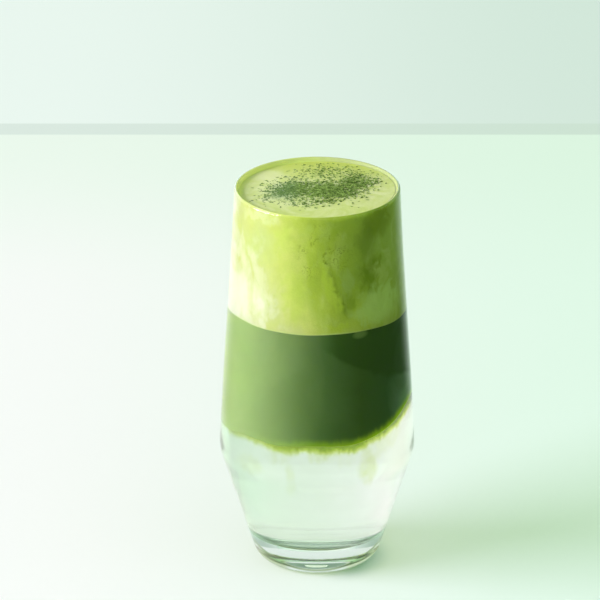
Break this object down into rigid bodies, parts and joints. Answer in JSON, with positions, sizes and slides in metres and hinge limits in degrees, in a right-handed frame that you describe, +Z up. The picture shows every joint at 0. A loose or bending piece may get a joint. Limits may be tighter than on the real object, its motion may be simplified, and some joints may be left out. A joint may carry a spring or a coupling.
{
  "type": "iced matcha latte",
  "caption": "Layered iced matcha drink, pale below, dark green tea between, thick foam cap dusted with powder on top, in a clear tumbler with a rounded belly and tapered foot.",
  "frame": {"origin": "centre of the ring under the foot, on the surface that the glass stands on", "axes": "+Z up through the rim; -Y is the front, as pictured, and +X is its right"},
  "size_m": [0.0736, 0.0736, 0.15],
  "materials": {
    "clear_glass": "polished clear glass",
    "pale_drink": "clear pale liquid with faint green haze",
    "green_tea": "opaque dark green liquid",
    "matcha_foam": "fine pale green foam with darker powder on top"
  },
  "bodies": {
    "root": {"glass": "clear_glass", "pale_layer": "pale_drink", "tea_layer": "green_tea", "foam_layer": "matcha_foam"}
  },
  "joints": []
}
